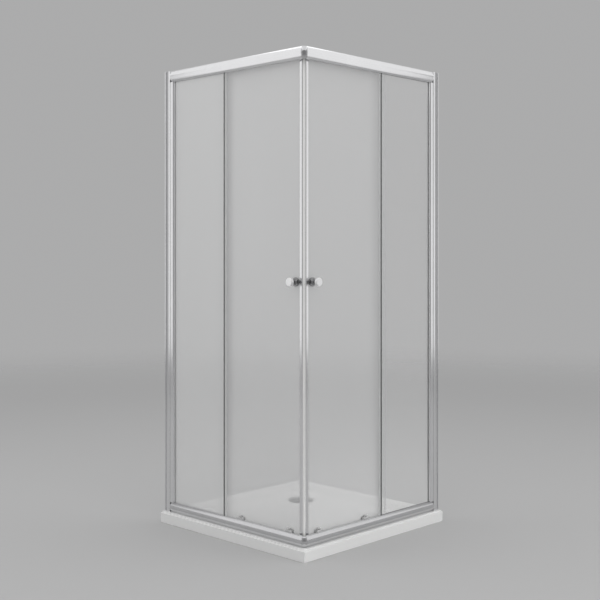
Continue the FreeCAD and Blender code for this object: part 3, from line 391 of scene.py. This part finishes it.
def clear_plastic(name, across, faces, edges, cover, edge_cover):
    """Soft sealing strip: its faces are clear up to a cover, and its edges look denser."""
    material, tree, shader = new_material(name)
    cloud = noise(tree, stretch=STRIP_FLOW)
    darker = tuple(part * STRIP_SHADE for part in faces)
    edges_and_faces(tree, shader, across, edges, edge_cover, tint(tree, cloud, darker, faces),
                    spread(tree, cloud, cover * STRIP_THINNING, cover))
    feed(tree, shader, Roughness=spread(tree, cloud, *STRIP_ROUGHNESS))
    bump(tree, shader, cloud, depth=0.0001, strength=0.3)
    return material


def add_shade_stripe(material, side):
    """Paint a shade stripe in a seal's outer leg, for the shaded gap at the pane's edge, over the
    look that it has.
    """
    tree = material.node_tree
    shader = tree.nodes["Principled BSDF"]
    shade_stripe = maths(tree, "MULTIPLY",
                 within(tree, ALONG[side], TRAY_LOW + SHADE_STRIPE_ALONG, SHADE_STRIPE_HALF_WIDTH),
                 within(tree, ACROSS[side], TRAY_LOW + SHADE_STRIPE_INWARD, SHADE_STRIPE_HALF_DEPTH))
    colour, cover = (shader.inputs[name].links[0].from_socket for name in ("Base Color", "Alpha"))
    feed(tree, shader, Base_Color=blend(tree, "RGBA", shade_stripe, colour, SHADE_STRIPE_COLOUR),
         Alpha=blend(tree, "FLOAT", shade_stripe, cover, SHADE_STRIPE_COVER))


def moulded_plastic(name, first, second, roughness):
    """Moulded plastic or rubber with a fine skin."""
    material, tree, shader = new_material(name)
    grain = noise(tree, MOULDED_GRAIN)
    cloud = noise(tree, MOULDED_CLOUD)
    feed(tree, shader, Base_Color=tint(tree, cloud, first, second),
         Roughness=spread(tree, grain, *roughness))
    bump(tree, shader, grain, depth=0.00005, strength=0.5)
    return material


def per_side(make, name, axes, *look):
    """A material for each side, whose look follows one of the side's axes."""
    return {side: make(f"{name}_{axes[side]}", axes[side], *look) for side in SIDES}


STANDING = extrusion_metal("profile_standing", "z", STANDING_TONES)
HIGH_RAIL = per_side(extrusion_metal, "high_rail_along", ALONG, HIGH_RAIL_TONES)
# The low rails' darker tones are a painted dark reflection
LOW_RAIL = per_side(extrusion_metal, "low_rail_along", ALONG, PAINTED_DARK_LOW_RAIL_TONES)
CHROME = fitting_chrome()
KNOB_CHROME = per_side(knob_chrome, "knob_facing", ACROSS)
SCREW_STEEL = turned_metal("screw_steel", (0.72, 0.72, 0.71), roughness=(0.29, 0.38))
# The drain cover's chrome is painted dark: a painted dark reflection
PAINTED_DARK_DRAIN_CHROME = turned_metal("drain_chrome", (0.21, 0.21, 0.215), roughness=(0.16, 0.26))
# The door panes' dark edges are painted shade
DOOR_GLASS = per_side(pane, "door_glass_facing", ACROSS, DOOR_COVER, PAINTED_SHADE_EDGE)
# The fixed panes' covers paint light on the left pane and shade on the right one
FIXED_GLASS = {
    side: pane(f"fixed_glass_facing_{ACROSS[side]}", ACROSS[side], FIXED_COVER_LIT_AND_SHADED[side], SEALED_EDGE)
    for side in SIDES
}
FIN_SEAL = per_side(clear_plastic, "fin_seal_facing", ACROSS, *FIN_SEAL_LOOK)
EDGE_SEAL = per_side(clear_plastic, "edge_seal_facing", ACROSS, *EDGE_SEAL_LOOK)
GASKET = per_side(clear_plastic, "gasket_facing", ACROSS, *GASKET_LOOK)
MAGNET = moulded_plastic("magnet_strip", (0.80, 0.80, 0.79), (0.88, 0.88, 0.87),
                         roughness=(0.35, 0.5))
ACETAL = moulded_plastic("roller_plastic", (0.76, 0.76, 0.73), (0.82, 0.82, 0.79),
                         roughness=(0.35, 0.5))
RUBBER = moulded_plastic("black_rubber", (0.020, 0.020, 0.021), (0.035, 0.035, 0.036),
                         roughness=(0.6, 0.8))
BLOCK = moulded_plastic("guide_plastic", (0.56, 0.56, 0.56), (0.62, 0.62, 0.62),
                        roughness=(0.3, 0.4))
WASTE = moulded_plastic("waste_plastic", (0.60, 0.60, 0.59), (0.68, 0.68, 0.67),
                        roughness=(0.4, 0.55))
TRAY = tray_acrylic()


def dress(name, material):
    """Give a CAD node its material."""
    slots = NODES[name].material_slots
    if not slots:
        NODES[name].data.materials.append(material)
    for slot in slots:
        slot.material = material


def dress_nodes():
    """Give every CAD node its material, also those that a built piece replaces."""
    for name, material in {
        "shower_tray": TRAY, "drain_flange": WASTE, "drain_gasket": RUBBER, "drain_nut": WASTE,
        "drain_cover": PAINTED_DARK_DRAIN_CHROME, "top_corner": CHROME, "bottom_corner": CHROME,
        "corner_screws": SCREW_STEEL,
    }.items():
        dress(name, material)
    for side in SIDES:
        for name, material in {
            "wall_profile": STANDING, "frame_profile": STANDING, "profile_screws": SCREW_STEEL,
            "fixed_glass": FIXED_GLASS[side], "glazing_strips": GASKET[side],
            "edge_seal": EDGE_SEAL[side], "top_rail": HIGH_RAIL[side],
            "bottom_rail": LOW_RAIL[side], "rail_buffers": RUBBER,
            "door_glass": DOOR_GLASS[side], "door_stile": STANDING, "magnet_strip": MAGNET,
            "rear_seal": FIN_SEAL[side], "outer_knob": KNOB_CHROME[side], "inner_knob": CHROME,
            "knob_washers": FIN_SEAL[side], "roller_carriages": CHROME,
            "carriage_pins": SCREW_STEEL, "guide_blocks": BLOCK, "guide_springs": SCREW_STEEL,
        }.items():
            dress(f"{side}_{name}", material)
        for end in ENDS:
            dress(f"{side}_top_wheel_{end}", ACETAL)
            dress(f"{side}_guide_wheel_{end}", ACETAL)
            dress(f"{side}_release_{end}", BLOCK)


def new_piece(name, mesh, material, body):
    """Put a built mesh in the scene as a piece that rides on a body."""
    bmesh.ops.recalc_face_normals(mesh, faces=mesh.faces)
    for face in mesh.faces:
        face.smooth = True
    for edge in mesh.edges:
        edge.smooth = edge.calc_face_angle(0.0) < SHARP_ANGLE
    data = bpy.data.meshes.new(name)
    mesh.to_mesh(data)
    mesh.free()
    data.materials.append(material)
    piece = bpy.data.objects.new(name, data)
    bpy.context.scene.collection.objects.link(piece)
    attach(piece, body)
    return piece


def circle(radius, centre=Vector((0.0, 0.0))):
    """Points round a centre in a plane."""
    turns = [step * math.tau / CIRCLE_SIDES for step in range(CIRCLE_SIDES)]
    return [centre + Vector((radius * math.cos(turn), radius * math.sin(turn))) for turn in turns]


def wall(mesh, lower, upper):
    """Add the faces between two closed rows of points."""
    for step in range(len(lower)):
        after = (step + 1) % len(lower)
        mesh.faces.new((lower[step], lower[after], upper[after], upper[step]))


def coil(mesh, centre, radius, wire, low, high, turns, section):
    """Add a wire wound upright between two heights, with a section of so many corners."""
    steps = round(turns * COIL_STEPS)
    rings = []
    for step in range(steps + 1):
        share = step / steps
        angle = share * turns * math.tau
        height = low + wire + (high - low - 2 * wire) * share
        out = Vector((math.cos(angle), math.sin(angle), 0.0))
        axis = Vector((centre.x, centre.y, height)) + out * radius
        corners = [part * math.tau / section for part in range(section)]
        rings.append([
            mesh.verts.new(axis + out * (wire * math.cos(turn))
                           + Vector((0, 0, wire * math.sin(turn))))
            for turn in corners
        ])
    for one, two in zip(rings, rings[1:]):
        wall(mesh, one, two)
    mesh.faces.new(rings[0])
    mesh.faces.new(rings[-1])


def swept(centre, start, end, steps):
    """Points on an arc round a centre, whose ends are given from that centre."""
    sweep = start.angle_signed(end)
    for step in range(steps + 1):
        turn = -sweep * step / steps
        yield centre + Vector((start.x * math.cos(turn) - start.y * math.sin(turn),
                               start.x * math.sin(turn) + start.y * math.cos(turn)))


def rounded(corners):
    """A closed outline with its corners rounded: each is its distance along, inward, and radius."""
    outline = []
    for number, (along, inward, radius) in enumerate(corners):
        here = Vector((along, inward))
        if not radius:
            outline.append(here)
            continue
        before = Vector(corners[number - 1][:2]) - here
        after = Vector(corners[(number + 1) % len(corners)][:2]) - here
        before.normalize()
        after.normalize()
        half = math.acos(max(-1.0, min(1.0, before.dot(after)))) / 2
        centre = here + (before + after).normalized() * (radius / math.sin(half))
        start = here + before * (radius / math.tan(half)) - centre
        end = here + after * (radius / math.tan(half)) - centre
        outline += swept(centre, start, end, ROUND_STEPS)
    return outline


def bowed(start, middle, end):
    """Sharp corners on the arc through three points."""
    (ax, ay), (bx, by), (cx, cy) = start, middle, end
    split = 2 * (ax * (by - cy) + bx * (cy - ay) + cx * (ay - by))
    a, b, c = (x * x + y * y for x, y in (start, middle, end))
    centre = Vector(((a * (by - cy) + b * (cy - ay) + c * (ay - by)) / split,
                     (a * (cx - bx) + b * (ax - cx) + c * (bx - ax)) / split))
    arc = swept(centre, Vector(start) - centre, Vector(end) - centre, BOW_STEPS)
    return [(point.x, point.y, 0.0) for point in arc]


def inside(place, loops):
    """True where a place lies in the first loop and in none of the others."""
    crossed = False
    for loop in loops:
        for one, two in zip(loop, loop[1:] + loop[:1]):
            if (one.y > place.y) != (two.y > place.y):
                share = (place.y - one.y) / (two.y - one.y)
                if place.x < one.x + share * (two.x - one.x):
                    crossed = not crossed
    return crossed


def filled(loops, merge):
    """Triangles between an outline and its holes, as numbers of the points in the order given.

    Points nearer to each other than the merge distance count as one."""
    edges = []
    first = 0
    for loop in loops:
        edges += [(first + step, first + (step + 1) % len(loop)) for step in range(len(loop))]
        first += len(loop)
    points = [point for loop in loops for point in loop]
    places, _, faces, origins, _, _ = delaunay_2d_cdt(points, edges, [], WHOLE_HULL, merge)
    for face in faces:
        middle = sum((places[n] for n in face), Vector((0.0, 0.0))) / len(face)
        if inside(middle, loops):
            yield [origins[n][0] for n in face]


def on_side(side, along, inward, height):
    """A point from its distances along a side and inward from its outer edge."""
    if side == "right":
        return Vector((TRAY_LOW + along, TRAY_LOW + inward, height))
    return Vector((TRAY_LOW + inward, TRAY_LOW + along, height))


def pierced(mesh, corners, side, along, holes):
    """Add an upright wall at a distance along a side, open at each hole, and give the rims."""
    rims = [[mesh.verts.new(on_side(side, along, *point)) for point in circle(HOLE_RADIUS, hole)]
            for hole in holes]
    inward = AXES.index(ACROSS[side])
    loops = [[Vector((point.co[inward], point.co.z)) for point in loop]
             for loop in [corners] + rims]
    points = corners + [point for rim in rims for point in rim]
    for face in filled(loops, SECTION_MERGE):
        mesh.faces.new([points[n] for n in face])
    return rims


def upright(mesh, side, loops, low, high, holes):
    """Add a profile between two heights, its section in millimetres, with holes in its web."""
    flat = [point for loop in loops for point in loop]
    ends = [[mesh.verts.new(on_side(side, point.x / MM_PER_METRE, point.y / MM_PER_METRE, height))
             for point in flat] for height in (low, high)]
    rims = []
    first = 0
    for loop in loops:
        for step in range(len(loop)):
            one, two = first + step, first + (step + 1) % len(loop)
            corners = [ends[0][one], ends[0][two], ends[1][two], ends[1][one]]
            in_web = flat[one].x == flat[two].x and flat[one].x > WEB_FROM_MM
            if holes and in_web:
                rims.append(pierced(mesh, corners, side, flat[one].x / MM_PER_METRE, holes))
            else:
                mesh.faces.new(corners)
        first += len(loop)
    for inner, outer in zip(*rims):
        wall(mesh, inner, outer)
    for face in filled(loops, SECTION_MERGE):
        for end in ends:
            mesh.faces.new([end[n] for n in face])


def cross_screw(mesh, seat, outward):
    """Add a pan-head screw with a cross recess, whose head stands out from its seat."""
    up = Vector((0.0, 0.0, 1.0))
    side = outward.cross(up)

    def row(places, height):
        return [mesh.verts.new(seat + side * x + up * y + outward * height) for x, y in places]

    rings = [circle(radius) for radius, _ in SCREW_PROFILE]
    rows = [row(ring, height) for ring, (_, height) in zip(rings, SCREW_PROFILE)]
    for lower, upper in zip(rows, rows[1:]):
        wall(mesh, lower, upper)
    mesh.faces.new(rows[0])
    top = SCREW_PROFILE[-1][1]
    half, arm = RECESS_SLOT / 2, RECESS_ARM
    cross = [Vector(place) for place in (
        (arm, half), (half, half), (half, arm), (-half, arm), (-half, half), (-arm, half),
        (-arm, -half), (-half, -half), (-half, -arm), (half, -arm), (half, -half), (arm, -half),
    )]
    corners = row(cross, top)
    points = rows[-1] + corners
    for face in filled([rings[-1], cross], RECESS_MERGE):
        mesh.faces.new([points[n] for n in face])
    floor = row([place * RECESS_TAPER for place in cross], top - RECESS_DEPTH)
    wall(mesh, corners, floor)
    mesh.faces.new(floor)


def side_screw(mesh, side, low, along, height):
    """Add a screw whose head faces into the cabin, its tip on the low face of the CAD screws."""
    if side == "right":
        cross_screw(mesh, Vector((along, low.y + SCREW_LENGTH, height)), Vector((0, 1, 0)))
    else:
        cross_screw(mesh, Vector((low.x + SCREW_LENGTH, along, height)), Vector((1, 0, 0)))


def springs():
    """Wound wire under each release button, in place of the CAD sleeves."""
    for side in SIDES:
        node = f"{side}_guide_springs"
        low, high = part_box(node)
        along, across = AXES.index(ALONG[side]), AXES.index(ACROSS[side])
        radius = (high[across] - low[across]) / 2
        for end, place in zip(ENDS, (low[along] + radius, high[along] - radius)):
            centre = (low + high) / 2
            centre[along] = place
            mesh = bmesh.new()
            coil(mesh, centre, radius - SPRING_WIRE, SPRING_WIRE, low.z, high.z, SPRING_TURNS,
                 SPRING_SECTION)
            piece = new_piece(f"{side}_spring_{end}", mesh, SCREW_STEEL, f"{side}_door")
            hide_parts(node)
            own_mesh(piece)


def screws():
    """Screws with a cross recess, in place of the CAD ones."""
    low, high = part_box("corner_screws")
    mesh = bmesh.new()
    for height in (low.z + SCREW_HEAD, high.z - SCREW_HEAD):
        side_screw(mesh, "right", low, high.x - SCREW_HEAD, height)
        side_screw(mesh, "left", low, high.y - SCREW_HEAD, height)
    piece = new_piece("corner_cross_screws", mesh, SCREW_STEEL, "frame")
    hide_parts("corner_screws")
    for side in SIDES:
        node = f"{side}_profile_screws"
        low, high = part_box(node)
        centre = (low + high) / 2
        mesh = bmesh.new()
        for height in (low.z + SCREW_HEAD, centre.z, high.z - SCREW_HEAD):
            side_screw(mesh, side, low, centre[AXES.index(ALONG[side])], height)
        piece = new_piece(f"{side}_cross_screws", mesh, SCREW_STEEL, "frame")
        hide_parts(node)


# Sections of the uprights: distance along the side, distance inward and corner radius
STILE_OUTER = [
    (58.78, 51.0, 6.0), (76.78, 51.0, 1.6), (76.78, 53.35, 0.0), (70.15, 53.35, 0.0),
    (70.15, 59.65, 0.0), (76.78, 59.65, 0.0), (76.78, 62.0, 1.0), (62.28, 62.0, 0.0),
    (58.78, 58.5, 0.0),
]
STILE_INNER = [
    (60.48, 52.7, 4.3), (68.45, 52.7, 0.5), (68.45, 60.3, 0.5), (62.98, 60.3, 0.0),
    (60.48, 57.8, 0.0),
]
FRAME_OUTER = [
    (840.0, 22.3, 4.5), (884.0, 22.3, 0.5), (884.0, 44.2, 0.5), (840.0, 44.2, 2.5),
    (840.0, 39.8, 0.0), (854.0, 39.8, 0.0), (854.0, 30.2, 0.0), (840.0, 30.2, 0.0),
]
FRAME_INNER = [
    (841.5, 23.8, 3.0), (882.5, 23.8, 0.0), (882.5, 42.7, 0.0), (855.5, 42.7, 0.0),
    (855.5, 28.7, 0.0), (841.5, 28.7, 0.0),
]
WALL_SECTION = bowed((862.0, 21.3), (872.0, 20.5), (889.0, 23.0)) + [
    (889.0, 27.5, 0.0), (893.5, 27.5, 0.0), (893.5, 22.5, 1.0), (900.0, 22.5, 0.0),
    (900.0, 46.0, 0.0), (862.0, 46.0, 0.7), (862.0, 44.5, 0.0), (898.5, 44.5, 0.0),
    (898.5, 29.0, 0.0), (887.5, 29.0, 0.0), (887.5, 24.6, 0.0), (884.5, 22.25, 0.0),
    (862.0, 22.0, 0.0),
]


def profiles():
    """Uprights with bowed and rounded faces, in place of the plain CAD sections."""
    fixings = [Vector((HOLE_INWARD, height)) for height in HOLE_HEIGHTS]
    for side in SIDES:
        for node, name, body, sections, holes in (
                ("door_stile", "stile", f"{side}_door", (STILE_OUTER, STILE_INNER), ()),
                ("frame_profile", "frame_upright", "frame", (FRAME_OUTER, FRAME_INNER), ()),
                ("wall_profile", "wall_upright", "frame", (WALL_SECTION,), fixings)):
            low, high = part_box(f"{side}_{node}")
            mesh = bmesh.new()
            loops = [rounded(section) for section in sections]
            upright(mesh, side, loops, low.z, high.z, holes)
            piece = new_piece(f"{side}_{name}", mesh, STANDING, body)
            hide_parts(f"{side}_{node}")


def waste_thread():
    """The thread that shows on the waste's tail below its nut."""
    low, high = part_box("drain_flange")
    nut_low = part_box("drain_nut")[0].z
    mesh = bmesh.new()
    coil(mesh, (low + high) / 2, THREAD_RADIUS, THREAD_DEPTH, low.z, nut_low, THREAD_TURNS,
         THREAD_SECTION)
    new_piece("waste_thread", mesh, WASTE, "frame")


def floor_below():
    """A plain pale floor that fades out far away."""
    mesh = bpy.data.meshes.new("floor")
    edge = FLOOR_SIZE / 2
    mesh.from_pydata([(-edge, -edge, 0), (edge, -edge, 0), (edge, edge, 0), (-edge, edge, 0)],
                     [], [(0, 1, 2, 3)])
    floor = bpy.data.objects.new("floor", mesh)
    bpy.context.scene.collection.objects.link(floor)
    floor.location.z = -FLOOR_DROP
    material, tree, shader = new_material("floor")
    darker = tuple(part * FLOOR_SPECKLE for part in FLOOR_COLOUR)
    feed(tree, shader, Roughness=FLOOR_ROUGHNESS,
         Base_Color=tint(tree, noise(tree, FLOOR_GRAIN), darker, FLOOR_COLOUR))
    distance = tree.nodes.new("ShaderNodeVectorMath")
    distance.operation = "LENGTH"
    tree.links.new(coordinates(tree, "Object"), distance.inputs[0])
    clear = tree.nodes.new("ShaderNodeBsdfTransparent")
    fading = add(tree, "ShaderNodeMixShader",
                 Fac=smooth_step(tree, distance.outputs["Value"], *FLOOR_FADE))
    tree.links.new(shader.outputs["BSDF"], fading.inputs[1])
    tree.links.new(clear.outputs["BSDF"], fading.inputs[2])
    feed(tree, tree.nodes["Material Output"], Surface=fading.outputs["Shader"])
    mesh.materials.append(material)
    floor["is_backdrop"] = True


def sky_around():
    """Soft light from all round, behind which the camera, metal and glass see a plain grey."""
    world = bpy.data.worlds.new("studio")
    bpy.context.scene.world = world
    world.use_nodes = True
    tree = world.node_tree
    toward = tree.nodes.new("ShaderNodeVectorMath")
    toward.operation = "DOT_PRODUCT"
    tree.links.new(coordinates(tree, "Generated"), toward.inputs[0])
    toward.inputs[1].default_value = SKY_NEAR_WAY
    near = smooth_step(tree, toward.outputs["Value"], *SKY_NEAR_BAND)
    seen = tree.nodes.new("ShaderNodeLightPath")
    rays = seen.outputs["Is Camera Ray"]
    for kind in ("Is Glossy Ray", "Is Transmission Ray"):
        rays = maths(tree, "MAXIMUM", rays, seen.outputs[kind])
    sky = tint(tree, near, SKY_FAR, SKY_NEAR)
    feed(tree, tree.nodes["Background"], Color=blend(tree, "RGBA", rays, (*SKY_LIGHT, 1.0), sky))


def area_lamp(name, spot, aim, width, height, power, spread_degrees, reflected):
    """A soft rectangular lamp."""
    lamp = bpy.data.lights.new(name, "AREA")
    lamp.shape = "RECTANGLE"
    lamp.size = width
    lamp.size_y = height
    lamp.energy = power
    lamp.spread = math.radians(spread_degrees)
    holder = bpy.data.objects.new(name, lamp)
    holder.location = spot
    holder.rotation_euler = (Vector(aim) - Vector(spot)).to_track_quat("-Z", "Y").to_euler()
    holder.visible_glossy = reflected
    bpy.context.scene.collection.objects.link(holder)


def camera_in_front():
    """The photograph's camera."""
    lens = bpy.data.cameras.new("camera")
    lens.lens = LENS_MM
    lens.shift_y = SHIFT_UP
    camera = bpy.data.objects.new("camera", lens)
    camera.location = CAMERA_AT
    camera.rotation_euler = CAMERA_FORWARD.to_track_quat("-Z", "Y").to_euler()
    bpy.context.scene.collection.objects.link(camera)
    bpy.context.scene.camera = camera
    bpy.context.scene.view_settings.view_transform = "Standard"


# Paint the shade stripe into the edge seals
for cabin_side in SIDES:
    add_shade_stripe(EDGE_SEAL[cabin_side], cabin_side)
dress_nodes()
springs()
screws()
profiles()
waste_thread()
floor_below()
sky_around()
for lamp_name, lamp_setting in LAMPS.items():
    area_lamp(lamp_name, *lamp_setting)
camera_in_front()
[[list(corner) for corner in box] for box in (cad_box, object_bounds())]
